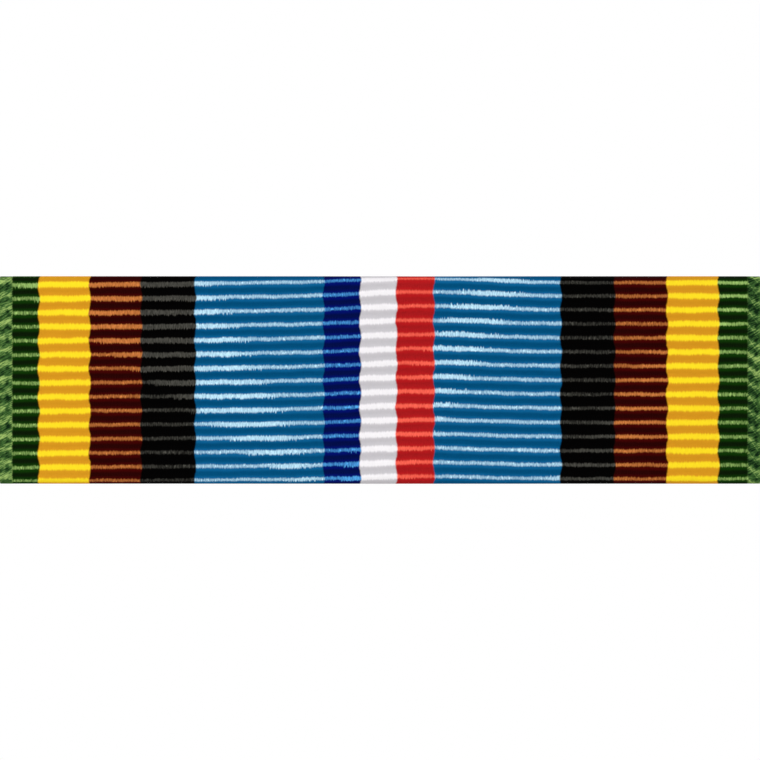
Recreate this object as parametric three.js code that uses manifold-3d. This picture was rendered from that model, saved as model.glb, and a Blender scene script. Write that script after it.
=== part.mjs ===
// A service ribbon bar: a striped ribbon on a metal slide unit, carried by a mount bar that is pinned
// through the uniform with two posts and two butterfly clutches.
// Millimetres. X runs along the bar, Z is up, and the front faces -Y. Y = 0 is the face of the mount bar
// that lies against the uniform, and the origin is the middle of that face.
import * as THREE from "three";
import { mergeVertices } from "three/addons/utils/BufferGeometryUtils.js";
import Module from "manifold-3d";

// ---- Driving dimensions ----

// Ribbon: the woven cloth, wrapped round the core with both cut ends turned in behind it.
const RIBBON_WIDTH = 34.925;
const RIBBON_HEIGHT = 9.525;
const RIBBON_THICKNESS = 0.32;
const RIBBON_TURN_IN = 2.5;

// Core: the flat plate that the ribbon is wrapped round.
const CORE_THICKNESS = 0.45;
const CORE_EDGE_RADIUS = 0.06;
const CORE_SIDE_INSET = 0.2;

// Stakes: bosses of the core that hold the slide channel, headed over behind it.
const STAKE_RADIUS = 0.75;
const STAKE_HEAD_RADIUS = 1.1;
const STAKE_HEAD_THICKNESS = 0.2;
const STAKE_DIMPLE_DEPTH = 0.28;
const STAKE_SPACING = 12;
const STAKE_COUNT = 3;

// Slide channel: the folded sheet behind the core, whose lips make the two rails.
const CHANNEL_SHEET = 0.35;
const CHANNEL_HEIGHT = 8.5;
const CHANNEL_SIDE_INSET = 0.15;
const CHANNEL_BEND_RADIUS = 0.3;
const LIP_SETBACK = 0.25;

// Mount bar: the dished plate whose two flanges run in the rails.
const MOUNT_SHEET = 0.5;
const MOUNT_SIDE_INSET = 0.7625; // from the ribbon's edge to the mount bar's end
const MOUNT_BEND_RADIUS = 0.25;
const MOUNT_CORNER = 0.9;
const DISH_ANGLE = THREE.MathUtils.degToRad(63);
const DIMPLE_RADIUS = 0.2;
const DIMPLE_HEIGHT = 0.09;
const DIMPLE_INSET = 2.2;

// Posts: turned nails, headed inside the mount bar.
const POST_SPACING = 22.2;
const POST_RADIUS = 0.535;
const POST_HEAD_RADIUS = 1.5;
const POST_HEAD_THICKNESS = 0.3;
const POST_HEAD_CHAMFER = 0.15;
const POST_LENGTH = 7.4;
const POST_TIP_LENGTH = 1.3;
const POST_TIP_RADIUS = 0.1;
const POST_GROOVE_RADIUS = 0.4;
const POST_GROOVE_WIDTH = 0.5;
const POST_GROOVE_TO_TIP = 2.2;

// Clutches: butterfly clutches of the 3/8 inch size, pushed on over the uniform's cloth.
const UNIFORM_CLOTH = 2.2;
const CLUTCH_RADIUS = 4.74;
const CLUTCH_SHEET = 0.3;
const CLUTCH_RIM_HEIGHT = 0.95;
const CLUTCH_RIM_LIP = 0.7;
const CLUTCH_HOLE_RADIUS = 0.75;
const CLUTCH_COLLAR_HEIGHT = 0.3;
const TURRET_RADIUS = 2.7;
const TURRET_HEIGHT = 2.55;
const NUB_RADIUS = 1.15;
const NUB_TOP_GAP = 0.25;
const WING_SHEET = 0.25;
const WING_HALF_WIDTH = 2;
const WING_TIP_HALF_WIDTH = 2.4;
const WING_TONGUE_HALF_WIDTH = 1.3;
const WING_TONGUE_END = 1.45;
const WING_TONGUE_CHAMFER = 0.5;
const WING_CORNER = 0.5;
const WING_RISE_ANGLE = THREE.MathUtils.degToRad(64);
const WING_RISE_LENGTH = 2.3;
const WING_BEND_RADIUS = 0.6;
const WING_CURL_RADIUS = 0.4;
const WING_CURL_LENGTH = 0.8;
const WING_CURL_DROP = 0.2;
const WING_PINCH = 0.55;

// Clearances.
const SEAT_GAP = 0.03; // between faces that touch
const SLIDE_GAP = 0.12; // round the mount bar's flanges in the rails
const STAKE_GAP = 0.05; // round a stake in its hole
const JAW_GAP = 0.04; // between a wing's jaw and the post
const WING_GAP = 0.1; // above and below a wing's plate
const WINDOW_GAP = 0.2; // beside a wing in its window
const HEAD_GAP = 0.15; // round a post's head in the dish
const OVERCUT = 0.2; // how far a cut runs past the face that it opens

// Facets.
const ROUND_SEGMENTS = 36;
const SMALL_ROUND_SEGMENTS = 24;
const CORNER_STEPS = 4;
const MERGE_DISTANCE = 1e-4;

// ---- Where each layer lies, worked out from the uniform's side forwards ----

const lipBack = -LIP_SETBACK;
const lipFront = lipBack - CHANNEL_SHEET;
const flangeBack = lipFront - SLIDE_GAP;
const flangeFront = flangeBack - MOUNT_SHEET;
const webBack = flangeFront - SLIDE_GAP;
const webFront = webBack - CHANNEL_SHEET;
const turnInBack = webFront - SEAT_GAP;
const turnInFront = turnInBack - RIBBON_THICKNESS;
const coreBack = turnInFront - SEAT_GAP;
const coreFront = coreBack - CORE_THICKNESS;
const faceBack = coreFront - SEAT_GAP;
const faceFront = faceBack - RIBBON_THICKNESS;

const ribbonHalf = RIBBON_HEIGHT / 2;
const ribbonInnerHalf = ribbonHalf - RIBBON_THICKNESS;
const coreHalf = ribbonInnerHalf - SEAT_GAP;
const channelHalf = CHANNEL_HEIGHT / 2;
const channelInnerHalf = channelHalf - CHANNEL_SHEET;
const flangeHalf = channelInnerHalf - SLIDE_GAP;
const turnInEdge = ribbonHalf - RIBBON_TURN_IN;

// The dish is as tall as the posts' heads need, and the channel's lips reach in to it.
const dishBendRadius = MOUNT_BEND_RADIUS + MOUNT_SHEET / 2;
const dishBendRun = dishBendRadius * Math.tan(DISH_ANGLE / 2);
const dishEdge = POST_HEAD_RADIUS + HEAD_GAP + dishBendRun;
const flangeStart = dishEdge - flangeBack / Math.tan(DISH_ANGLE);
const lipEdge = flangeStart + MOUNT_SHEET + SLIDE_GAP;

const mountLength = RIBBON_WIDTH - 2 * MOUNT_SIDE_INSET;

// ---- Joining and cutting ----

const wasm = await Module();
wasm.setup();

function solid(geometry) {
  const bare = geometry.index ? geometry.toNonIndexed() : geometry.clone();
  bare.deleteAttribute("normal");
  bare.deleteAttribute("uv");
  const merged = mergeVertices(bare, MERGE_DISTANCE);
  return new wasm.Manifold(
    new wasm.Mesh({
      numProp: 3,
      vertProperties: merged.attributes.position.array,
      triVerts: new Uint32Array(merged.index.array),
    }),
  );
}

function geometryOf(body) {
  const mesh = body.getMesh();
  const geometry = new THREE.BufferGeometry();
  geometry.setAttribute("position", new THREE.BufferAttribute(mesh.vertProperties, 3));
  geometry.setIndex(new THREE.BufferAttribute(mesh.triVerts, 1));
  return geometry;
}

function cut(body, ...tools) {
  return tools.reduce((left, tool) => left.subtract(tool), body);
}

// ---- Shapes ----

// An outline in (Y, Z) drawn out along X, centred on the bar's middle.
function alongX(shape, length) {
  const geometry = new THREE.ExtrudeGeometry(shape, { depth: length, bevelEnabled: false });
  geometry.translate(0, 0, -length / 2);
  geometry.applyMatrix4(
    new THREE.Matrix4().makeBasis(
      new THREE.Vector3(0, 1, 0),
      new THREE.Vector3(0, 0, 1),
      new THREE.Vector3(1, 0, 0),
    ),
  );
  return geometry;
}

// An outline in (X, Z) drawn out along Y, from one height to another.
function alongY(shape, from, to) {
  const geometry = new THREE.ExtrudeGeometry(shape, { depth: to - from, bevelEnabled: false });
  geometry.rotateX(Math.PI / 2);
  geometry.translate(0, to, 0);
  return geometry;
}

function cylinderY(radius, from, to, x, z = 0) {
  const geometry = new THREE.CylinderGeometry(radius, radius, to - from, SMALL_ROUND_SEGMENTS);
  return geometry.translate(x, (from + to) / 2, z);
}

function box(low, high) {
  const size = new THREE.Vector3().subVectors(high, low);
  const middle = new THREE.Vector3().addVectors(low, high).multiplyScalar(0.5);
  return new THREE.BoxGeometry(size.x, size.y, size.z).translate(middle.x, middle.y, middle.z);
}

function lathe(profile, segments = ROUND_SEGMENTS) {
  return new THREE.LatheGeometry(profile, segments);
}

const at = (x, y) => new THREE.Vector2(x, y);

// Points on an arc, ends included. Angles are in radians from +X, and run the way that they are given.
function arc(x, y, radius, from, to, steps = CORNER_STEPS) {
  return Array.from({ length: steps + 1 }, (_, i) => {
    const angle = from + ((to - from) * i) / steps;
    return at(x + radius * Math.cos(angle), y + radius * Math.sin(angle));
  });
}

// A path given as straight corners, with each inner corner rounded to the radius of the path's middle line.
function rounded(corners, radius) {
  const path = [corners[0]];
  for (let i = 1; i < corners.length - 1; i++) {
    const before = corners[i - 1].clone().sub(corners[i]).normalize();
    const after = corners[i + 1].clone().sub(corners[i]).normalize();
    const half = Math.acos(THREE.MathUtils.clamp(before.dot(after), -1, 1)) / 2;
    const back = radius / Math.tan(half);
    const centre = before
      .clone()
      .add(after)
      .normalize()
      .multiplyScalar(radius / Math.sin(half))
      .add(corners[i]);
    const first = before.clone().multiplyScalar(back).add(corners[i]).sub(centre);
    const last = after.clone().multiplyScalar(back).add(corners[i]).sub(centre);
    const turn = Math.atan2(first.cross(last), first.dot(last));
    path.push(...arc(centre.x, centre.y, radius, first.angle(), first.angle() + turn));
  }
  path.push(corners.at(-1));
  return path;
}

// The outline of a sheet of even thickness whose middle line is the path.
function sheet(path, thickness) {
  const side = (sign) =>
    path.map((point, i) => {
      const into = point.clone().sub(path[Math.max(i - 1, 0)]);
      const out = path[Math.min(i + 1, path.length - 1)].clone().sub(point);
      const a = (i ? into : out).normalize();
      const b = (i < path.length - 1 ? out : into).normalize();
      const along = a.clone().add(b).normalize();
      const reach = thickness / 2 / Math.sqrt((1 + a.dot(b)) / 2);
      return at(point.x - sign * along.y * reach, point.y + sign * along.x * reach);
    });
  return new THREE.Shape([...side(1), ...side(-1).reverse()]);
}

// A slot with round ends along X, as an outline in (X, Z).
function slot(fromX, toX, radius) {
  const quarter = Math.PI / 2;
  return new THREE.Shape([
    ...arc(toX - radius, 0, radius, -quarter, quarter, CORNER_STEPS * 2),
    ...arc(fromX + radius, 0, radius, quarter, 3 * quarter, CORNER_STEPS * 2),
  ]);
}

// ---- Ribbon unit ----

// The cloth lies over the front, folds round the core's long edges and runs behind it to the cut ends.
function ribbon() {
  const front = (faceBack + faceFront) / 2;
  const back = (turnInBack + turnInFront) / 2;
  const edge = ribbonHalf - RIBBON_THICKNESS / 2;
  const corners = [
    at(back, -turnInEdge),
    at(back, -edge),
    at(front, -edge),
    at(front, edge),
    at(back, edge),
    at(back, turnInEdge),
  ];
  const foldRadius = CORE_EDGE_RADIUS + SEAT_GAP + RIBBON_THICKNESS / 2;
  return alongX(sheet(rounded(corners, foldRadius), RIBBON_THICKNESS), RIBBON_WIDTH);
}

const stakePlaces = Array.from(
  { length: STAKE_COUNT },
  (_, i) => (i - (STAKE_COUNT - 1) / 2) * STAKE_SPACING,
);

// A flat plate with stakes half pierced out of it towards the back. Each leaves a dimple in the front.
function core() {
  const plate = new THREE.Shape(
    [
      [coreBack, coreHalf, 0],
      [coreFront, coreHalf, 1],
      [coreFront, -coreHalf, 2],
      [coreBack, -coreHalf, 3],
    ].flatMap(([y, z, corner]) => {
      const inY = Math.sign(coreFront + coreBack - 2 * y) * CORE_EDGE_RADIUS;
      const inZ = -Math.sign(z) * CORE_EDGE_RADIUS;
      const start = (corner * Math.PI) / 2;
      return arc(y + inY, z + inZ, CORE_EDGE_RADIUS, start, start + Math.PI / 2);
    }),
  );
  let body = solid(alongX(plate, RIBBON_WIDTH - 2 * CORE_SIDE_INSET));
  for (const x of stakePlaces) {
    const root = (coreFront + coreBack) / 2;
    const headFront = webBack + SEAT_GAP;
    const headMiddle = headFront + STAKE_HEAD_THICKNESS / 2;
    body = body
      .add(solid(cylinderY(STAKE_RADIUS, root, headMiddle, x)))
      .add(solid(cylinderY(STAKE_HEAD_RADIUS, headFront, headFront + STAKE_HEAD_THICKNESS, x)));
    const dimple = cylinderY(STAKE_RADIUS, coreFront - OVERCUT, coreFront + STAKE_DIMPLE_DEPTH, x);
    body = cut(body, solid(dimple));
  }
  return geometryOf(body);
}

// A sheet folded back and in along both long edges, with a hole for each stake.
function slideChannel() {
  const web = (webBack + webFront) / 2;
  const lip = (lipBack + lipFront) / 2;
  const edge = channelHalf - CHANNEL_SHEET / 2;
  const corners = [
    at(lip, -lipEdge),
    at(lip, -edge),
    at(web, -edge),
    at(web, edge),
    at(lip, edge),
    at(lip, lipEdge),
  ];
  const length = RIBBON_WIDTH - 2 * (CORE_SIDE_INSET + CHANNEL_SIDE_INSET);
  const folded = alongX(sheet(rounded(corners, CHANNEL_BEND_RADIUS), CHANNEL_SHEET), length);
  const holes = stakePlaces.map((x) =>
    solid(cylinderY(STAKE_RADIUS + STAKE_GAP, webFront - OVERCUT, webBack + OVERCUT, x)),
  );
  return geometryOf(cut(solid(folded), ...holes));
}

// ---- Mount ----

const postPlaces = [-POST_SPACING / 2, POST_SPACING / 2];

// A plate dished back to the uniform between its two flanges. The flanges' ends are cut at a slant to
// lead the rails on, and small dimples near them keep the ribbon unit from sliding off.
function mountBar() {
  const web = -MOUNT_SHEET / 2;
  const flange = (flangeBack + flangeFront) / 2;
  const corners = [
    at(flange, -flangeHalf),
    at(flange, -flangeStart),
    at(web, -dishEdge),
    at(web, dishEdge),
    at(flange, flangeStart),
    at(flange, flangeHalf),
  ];
  let body = solid(alongX(sheet(rounded(corners, dishBendRadius), MOUNT_SHEET), mountLength));
  const leadIn = new THREE.Shape([
    at(-MOUNT_CORNER, 0),
    at(0, -MOUNT_CORNER),
    at(MOUNT_CORNER, 0),
    at(0, MOUNT_CORNER),
  ]);
  for (const x of [-mountLength / 2, mountLength / 2]) {
    for (const z of [-flangeHalf, flangeHalf]) {
      const corner = alongY(leadIn, flangeFront - OVERCUT, flangeBack + OVERCUT);
      body = cut(body, solid(corner.translate(x, 0, z)));
      const top = flangeFront - DIMPLE_HEIGHT;
      const inset = x - Math.sign(x) * DIMPLE_INSET;
      const height = z - (Math.sign(z) * (flangeHalf - flangeStart - dishBendRun)) / 2;
      body = body.add(solid(cylinderY(DIMPLE_RADIUS, top, flangeFront + DIMPLE_HEIGHT, inset, height)));
    }
  }
  const holes = postPlaces.map((x) =>
    solid(cylinderY(POST_RADIUS + SEAT_GAP, -MOUNT_SHEET - OVERCUT, OVERCUT, x)),
  );
  return geometryOf(cut(body, ...holes));
}

// A turned nail: a head inside the dish of the mount bar, a grooved shank and a point.
function post() {
  const headBack = -MOUNT_SHEET - SEAT_GAP;
  const headFront = headBack - POST_HEAD_THICKNESS;
  const groove = POST_LENGTH - POST_GROOVE_TO_TIP;
  const taper = POST_RADIUS - POST_GROOVE_RADIUS;
  return lathe(
    [
      at(0, headFront),
      at(POST_HEAD_RADIUS - POST_HEAD_CHAMFER, headFront),
      at(POST_HEAD_RADIUS, headFront + POST_HEAD_CHAMFER),
      at(POST_HEAD_RADIUS, headBack),
      at(POST_RADIUS, headBack),
      at(POST_RADIUS, groove - POST_GROOVE_WIDTH / 2 - taper),
      at(POST_GROOVE_RADIUS, groove - POST_GROOVE_WIDTH / 2),
      at(POST_GROOVE_RADIUS, groove + POST_GROOVE_WIDTH / 2),
      at(POST_RADIUS, groove + POST_GROOVE_WIDTH / 2 + taper),
      at(POST_RADIUS, POST_LENGTH - POST_TIP_LENGTH),
      at(POST_TIP_RADIUS, POST_LENGTH - POST_TIP_RADIUS),
      at(0, POST_LENGTH),
    ],
    SMALL_ROUND_SEGMENTS,
  );
}

// ---- Clutches, drawn round their own axis with the uniform's side at Y = 0 ----

const capSeat = CLUTCH_SHEET + SEAT_GAP;
const capFlangeTop = capSeat + CLUTCH_SHEET;
const rimInner = CLUTCH_RADIUS - CLUTCH_SHEET;
const lowPlate = CLUTCH_RIM_HEIGHT + WING_GAP;
const highPlate = lowPlate + WING_SHEET + WING_GAP;
const nubTop = POST_LENGTH - UNIFORM_CLOTH + NUB_TOP_GAP + CLUTCH_SHEET;

// A pressed disc whose edge is rolled up and in, over the cap's flange, with a collar round the pin hole.
function clutchBase() {
  const half = Math.PI / 2;
  const collar = CLUTCH_HOLE_RADIUS + CLUTCH_SHEET;
  return lathe([
    at(CLUTCH_HOLE_RADIUS + CLUTCH_SHEET / 2, 0),
    ...arc(CLUTCH_RADIUS - CLUTCH_SHEET, CLUTCH_SHEET, CLUTCH_SHEET, -half, 0),
    ...arc(CLUTCH_RADIUS - CLUTCH_SHEET, CLUTCH_RIM_HEIGHT - CLUTCH_SHEET, CLUTCH_SHEET, 0, half),
    at(CLUTCH_RADIUS - CLUTCH_RIM_LIP, CLUTCH_RIM_HEIGHT),
    at(CLUTCH_RADIUS - CLUTCH_RIM_LIP, capFlangeTop + SEAT_GAP),
    at(rimInner, capFlangeTop + SEAT_GAP),
    at(rimInner, CLUTCH_SHEET),
    at(collar, CLUTCH_SHEET),
    at(collar, CLUTCH_SHEET + CLUTCH_COLLAR_HEIGHT),
    at(CLUTCH_HOLE_RADIUS, CLUTCH_SHEET + CLUTCH_COLLAR_HEIGHT),
    at(CLUTCH_HOLE_RADIUS, CLUTCH_SHEET / 2),
    at(CLUTCH_HOLE_RADIUS + CLUTCH_SHEET / 2, 0),
  ]);
}

// A drawn shell: a flange, a turret with a window at each side for the wings, and a closed nub over the
// point of the post.
function clutchCap() {
  const flangeEdge = rimInner - STAKE_GAP;
  const inside = TURRET_RADIUS - CLUTCH_SHEET;
  const nubInside = NUB_RADIUS - CLUTCH_SHEET;
  const shoulder = (TURRET_RADIUS - NUB_RADIUS) / 2;
  const half = Math.PI / 2;
  const neck = TURRET_HEIGHT + shoulder;
  const outer = [
    at(flangeEdge, capSeat),
    at(flangeEdge, capFlangeTop),
    at(TURRET_RADIUS, capFlangeTop),
    ...arc(TURRET_RADIUS - shoulder, TURRET_HEIGHT - shoulder / 2, shoulder, 0, half),
    ...arc(NUB_RADIUS + shoulder, neck + shoulder / 2, shoulder, -half, -2 * half).slice(1),
    ...arc(0, nubTop - NUB_RADIUS, NUB_RADIUS, 0, half),
  ];
  const within = [
    ...arc(0, nubTop - NUB_RADIUS, nubInside, half, 0),
    at(nubInside, neck + shoulder / 2),
    at(NUB_RADIUS, TURRET_HEIGHT),
    at(inside - shoulder / 2, TURRET_HEIGHT + shoulder / 4 - CLUTCH_SHEET),
    at(inside, TURRET_HEIGHT - shoulder / 2),
    at(inside, capSeat),
  ];
  const shell = solid(lathe([...outer, ...within, at(flangeEdge, capSeat)]));
  const low = new THREE.Vector3(-CLUTCH_RADIUS, lowPlate - WING_GAP, -WING_HALF_WIDTH - WINDOW_GAP);
  const high = new THREE.Vector3(
    CLUTCH_RADIUS,
    highPlate + WING_SHEET + WING_GAP,
    WING_HALF_WIDTH + WINDOW_GAP,
  );
  return geometryOf(cut(shell, solid(box(low, high))));
}

// A spring wing that leaves the turret towards +X. Its plate passes the post, and the far edge of the
// plate's slot is the jaw that grips it. Pushing the wing in lets go of the post.
function clutchWing(plateHeight) {
  const middle = plateHeight + WING_SHEET / 2;
  const rise = WING_RISE_LENGTH - (plateHeight - lowPlate);
  const start = at(-WING_TONGUE_END - OVERCUT, middle);
  const bend = at(TURRET_RADIUS + WING_PINCH + WING_BEND_RADIUS, middle);
  const top = at(Math.cos(WING_RISE_ANGLE), Math.sin(WING_RISE_ANGLE)).multiplyScalar(rise).add(bend);
  const end = at(WING_CURL_LENGTH + OVERCUT, -WING_CURL_DROP).add(top);
  const path = [
    ...rounded([start, bend, top], WING_BEND_RADIUS).slice(0, -1),
    ...rounded([bend, top, end], WING_CURL_RADIUS).slice(1),
  ];
  const strip = new THREE.ExtrudeGeometry(sheet(path, WING_SHEET), {
    depth: 2 * WING_TIP_HALF_WIDTH,
    bevelEnabled: false,
  });
  strip.translate(0, 0, -WING_TIP_HALF_WIDTH);

  // The plan: a narrow tongue, the plate in the window, and the flared wing beyond the turret.
  const reach = end.x - OVERCUT;
  const side = (sign) => [
    at(-WING_TONGUE_END, sign * (WING_TONGUE_HALF_WIDTH - WING_TONGUE_CHAMFER)),
    at(-WING_TONGUE_END + WING_TONGUE_CHAMFER, sign * WING_TONGUE_HALF_WIDTH),
    at(POST_RADIUS, sign * WING_TONGUE_HALF_WIDTH),
    at(POST_RADIUS + WING_HALF_WIDTH - WING_TONGUE_HALF_WIDTH, sign * WING_HALF_WIDTH),
    at(TURRET_RADIUS + WING_PINCH, sign * WING_HALF_WIDTH),
    at(bend.x, sign * WING_TIP_HALF_WIDTH),
    ...arc(
      reach - WING_CORNER,
      sign * (WING_TIP_HALF_WIDTH - WING_CORNER),
      WING_CORNER,
      (sign * Math.PI) / 2,
      0,
    ),
  ];
  const plan = new THREE.Shape([...side(-1), ...side(1).reverse()]);
  const jaw = slot(-POST_RADIUS - JAW_GAP, POST_RADIUS + WING_PINCH + JAW_GAP, POST_RADIUS + JAW_GAP);
  const wing = solid(strip).intersect(solid(alongY(plan, 0, nubTop)));
  return geometryOf(cut(wing, solid(alongY(jaw, plateHeight - OVERCUT, middle + WING_SHEET))));
}

// ---- Assembly ----

const brass = (color, roughness) =>
  new THREE.MeshStandardMaterial({ color, roughness, metalness: 1 });
const materials = {
  ribbon: new THREE.MeshStandardMaterial({ color: 0x1b6f9e, roughness: 0.8, metalness: 0 }),
  core: brass(0xb5a16a, 0.45),
  channel: brass(0xd0a54a, 0.35),
  mount: brass(0xd0a54a, 0.35),
  post: brass(0xdcb45c, 0.25),
  clutch: brass(0xd9b25a, 0.25),
  wing: brass(0xc99a52, 0.3),
};

function piece(name, geometry, material) {
  const mesh = new THREE.Mesh(geometry, material);
  mesh.name = name;
  return mesh;
}

// One clutch on its post. side is -1 for the left and 1 for the right, seen from the front.
function clutch(name, side) {
  const group = new THREE.Group();
  group.position.set(side * (POST_SPACING / 2), UNIFORM_CLOTH, 0);
  const outer = clutchWing(lowPlate);
  const inner = clutchWing(highPlate);
  (side > 0 ? inner : outer).rotateY(Math.PI);
  group.add(
    piece(`${name}_clutch_base`, clutchBase(), materials.clutch),
    piece(`${name}_clutch_cap`, clutchCap(), materials.clutch),
    piece(`${name}_clutch_outer_wing`, outer, materials.wing),
    piece(`${name}_clutch_inner_wing`, inner, materials.wing),
  );
  return group;
}

const bar = new THREE.Group();
bar.add(
  piece("ribbon", ribbon(), materials.ribbon),
  piece("ribbon_core", core(), materials.core),
  piece("slide_channel", slideChannel(), materials.channel),
  piece("mount_bar", mountBar(), materials.mount),
);
for (const [name, side] of [["left", -1], ["right", 1]]) {
  const pin = piece(`${name}_post`, post(), materials.post);
  pin.position.x = side * (POST_SPACING / 2);
  bar.add(pin, clutch(name, side));
}

export default bar;
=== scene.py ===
"""A service ribbon bar: a striped, ribbed ribbon round a metal slide unit, on a mount bar that two pins and
two butterfly clutches hold to the uniform. The pieces follow in the order in which they are put together.
Shapes are drawn in millimetres and turned into metres when a piece is made. X runs along the bar, Z is up,
and the ribbon's face looks along -Y."""
import math

import bmesh
import bpy
import numpy as np
from mathutils import Matrix, Vector


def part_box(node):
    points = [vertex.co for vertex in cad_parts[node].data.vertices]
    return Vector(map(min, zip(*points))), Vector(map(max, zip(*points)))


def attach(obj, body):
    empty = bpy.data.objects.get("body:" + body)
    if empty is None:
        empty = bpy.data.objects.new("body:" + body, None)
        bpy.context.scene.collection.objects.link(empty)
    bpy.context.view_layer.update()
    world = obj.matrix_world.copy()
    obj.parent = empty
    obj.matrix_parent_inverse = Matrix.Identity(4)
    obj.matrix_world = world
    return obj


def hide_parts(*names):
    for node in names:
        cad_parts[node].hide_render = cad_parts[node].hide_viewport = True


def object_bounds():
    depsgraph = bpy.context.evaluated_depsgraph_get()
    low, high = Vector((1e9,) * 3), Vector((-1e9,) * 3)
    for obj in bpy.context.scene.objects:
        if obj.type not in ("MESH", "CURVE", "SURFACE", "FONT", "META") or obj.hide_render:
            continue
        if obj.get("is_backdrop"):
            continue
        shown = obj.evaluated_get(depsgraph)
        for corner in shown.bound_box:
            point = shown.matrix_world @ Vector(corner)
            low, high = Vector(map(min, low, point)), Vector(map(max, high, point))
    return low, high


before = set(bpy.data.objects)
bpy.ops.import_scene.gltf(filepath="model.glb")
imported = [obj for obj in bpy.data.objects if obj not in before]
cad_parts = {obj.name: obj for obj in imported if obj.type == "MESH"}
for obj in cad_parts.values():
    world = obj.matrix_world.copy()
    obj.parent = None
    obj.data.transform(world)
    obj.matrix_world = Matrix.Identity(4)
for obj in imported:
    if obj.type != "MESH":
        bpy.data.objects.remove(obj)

cad_low, cad_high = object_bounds()
MM = 0.001

# ---- Camera ----
# A long lens, square on to the ribbon's face and level with its middle, as far off as makes the ribbon's
# width fill the picture from side to side, with a very little trimmed off at each selvedge.
LENS = 200
SENSOR = 36
FRAME_TRIM = 0.13

ribbon_low, ribbon_high = (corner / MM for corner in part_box("ribbon"))
ribbon_width = ribbon_high.x - ribbon_low.x
eye = bpy.data.cameras.new("camera")
eye.lens = LENS
eye.sensor_width = SENSOR
eye.clip_start = 10 * MM
camera = bpy.data.objects.new("camera", eye)
camera.location = Vector((0, ribbon_low.y - (ribbon_width - FRAME_TRIM) * LENS / SENSOR, 0)) * MM
camera.rotation_euler = (math.pi / 2, 0, 0)
bpy.context.scene.collection.objects.link(camera)
bpy.context.scene.camera = camera
bpy.context.scene.view_settings.view_transform = "Standard"

# ---- Studio ----
# A white room round a pale table top. The top lies well below the bar and fades into the room's white
# before its edge. Soft boxes light the ribbon evenly from in front, most from above on the left, and one
# more lights the brass behind.
TABLE_DROP = 25
TABLE_RADIUS = 400
TABLE_FADE = (45, 62)
TABLE_COLOUR = (0.8, 0.8, 0.79, 1)
WHITE = (1, 1, 1, 1)
ROOM_LOW, ROOM_HIGH = 0.16, 0.58
# Each soft box's place and size in millimetres, and its power in watts.
SOFT_BOXES = {
    "key": ((-80, -210, 115), 130, 0.33),
    "fill": ((110, -205, -75), 160, 0.26),
    "back": ((70, 190, 150), 120, 0.30),
    "back_fill": ((-150, 150, 20), 90, 0.10),
}


def add(nodes, kind, **settings):
    """A shader node of one kind with its settings made."""
    made = nodes.new("ShaderNode" + kind)
    for key, value in settings.items():
        setattr(made, key, value)
    return made


def feed(socket, value):
    """Joins another node's output to a socket, or sets the socket to a plain value."""
    if isinstance(value, bpy.types.NodeSocket):
        socket.id_data.links.new(value, socket)
    else:
        socket.default_value = value


def sums(nodes, operation, *values, clamp=False):
    """One step of arithmetic on numbers or on other nodes' outputs."""
    made = add(nodes, "Math", operation=operation, use_clamp=clamp)
    for socket, value in zip(made.inputs, values):
        feed(socket, value)
    return made.outputs[0]


def ease(nodes, value, low, high, to_low=0.0, to_high=1.0):
    """Goes smoothly from one number to another while value goes from low to high."""
    made = add(nodes, "MapRange", interpolation_type="SMOOTHSTEP")
    for socket, number in zip(made.inputs, (value, low, high, to_low, to_high)):
        feed(socket, number)
    return made.outputs[0]


room = bpy.data.worlds.new("white_room")
room.use_nodes = True
nodes = room.node_tree.nodes
nodes.clear()
direction = add(nodes, "SeparateXYZ")
feed(direction.inputs[0], add(nodes, "TexCoord").outputs["Generated"])
seen = add(nodes, "LightPath").outputs["Is Camera Ray"]
background = add(nodes, "Background")
glow = ease(nodes, direction.outputs["Z"], -0.4, 0.9, ROOM_LOW, ROOM_HIGH)
background.inputs["Color"].default_value = WHITE
feed(background.inputs["Strength"], sums(nodes, "MAXIMUM", seen, glow))
feed(add(nodes, "OutputWorld").inputs["Surface"], background.outputs[0])
bpy.context.scene.world = room

table = bpy.data.meshes.new("table_top")
shape = bmesh.new()
bmesh.ops.create_circle(shape, cap_ends=True, segments=96, radius=TABLE_RADIUS * MM)
shape.to_mesh(table)
table_top = bpy.data.objects.new("table_top", table)
table_top.location.z = -TABLE_DROP * MM
bpy.context.scene.collection.objects.link(table_top)
table_top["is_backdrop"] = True

table_paint = bpy.data.materials.new("table_paint")
table_paint.use_nodes = True
nodes = table_paint.node_tree.nodes
paint = nodes["Principled BSDF"]
paint.inputs["Base Color"].default_value = TABLE_COLOUR
paint.inputs["Roughness"].default_value = 0.9
paint.inputs["Specular IOR Level"].default_value = 0.1
reach = add(nodes, "VectorMath", operation="LENGTH")
feed(reach.inputs[0], add(nodes, "TexCoord").outputs["Object"])
fade = ease(nodes, reach.outputs["Value"], TABLE_FADE[0] * MM, TABLE_FADE[1] * MM)
seen = add(nodes, "LightPath").outputs["Is Camera Ray"]
white = add(nodes, "Emission")
white.inputs["Color"].default_value = WHITE
blend = add(nodes, "MixShader")
feed(blend.inputs[0], sums(nodes, "MULTIPLY", fade, seen))
feed(blend.inputs[1], paint.outputs[0])
feed(blend.inputs[2], white.outputs[0])
feed(nodes["Material Output"].inputs["Surface"], blend.outputs[0])
table.materials.append(table_paint)

for name, (place, size, power) in SOFT_BOXES.items():
    lamp = bpy.data.lights.new(name, "AREA")
    lamp.size = size * MM
    lamp.energy = power
    soft_box = bpy.data.objects.new(name, lamp)
    soft_box.location = Vector(place) * MM
    soft_box.rotation_euler = Vector(place).to_track_quat("Z", "Y").to_euler()
    soft_box.visible_camera = False
    bpy.context.scene.collection.objects.link(soft_box)

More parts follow.
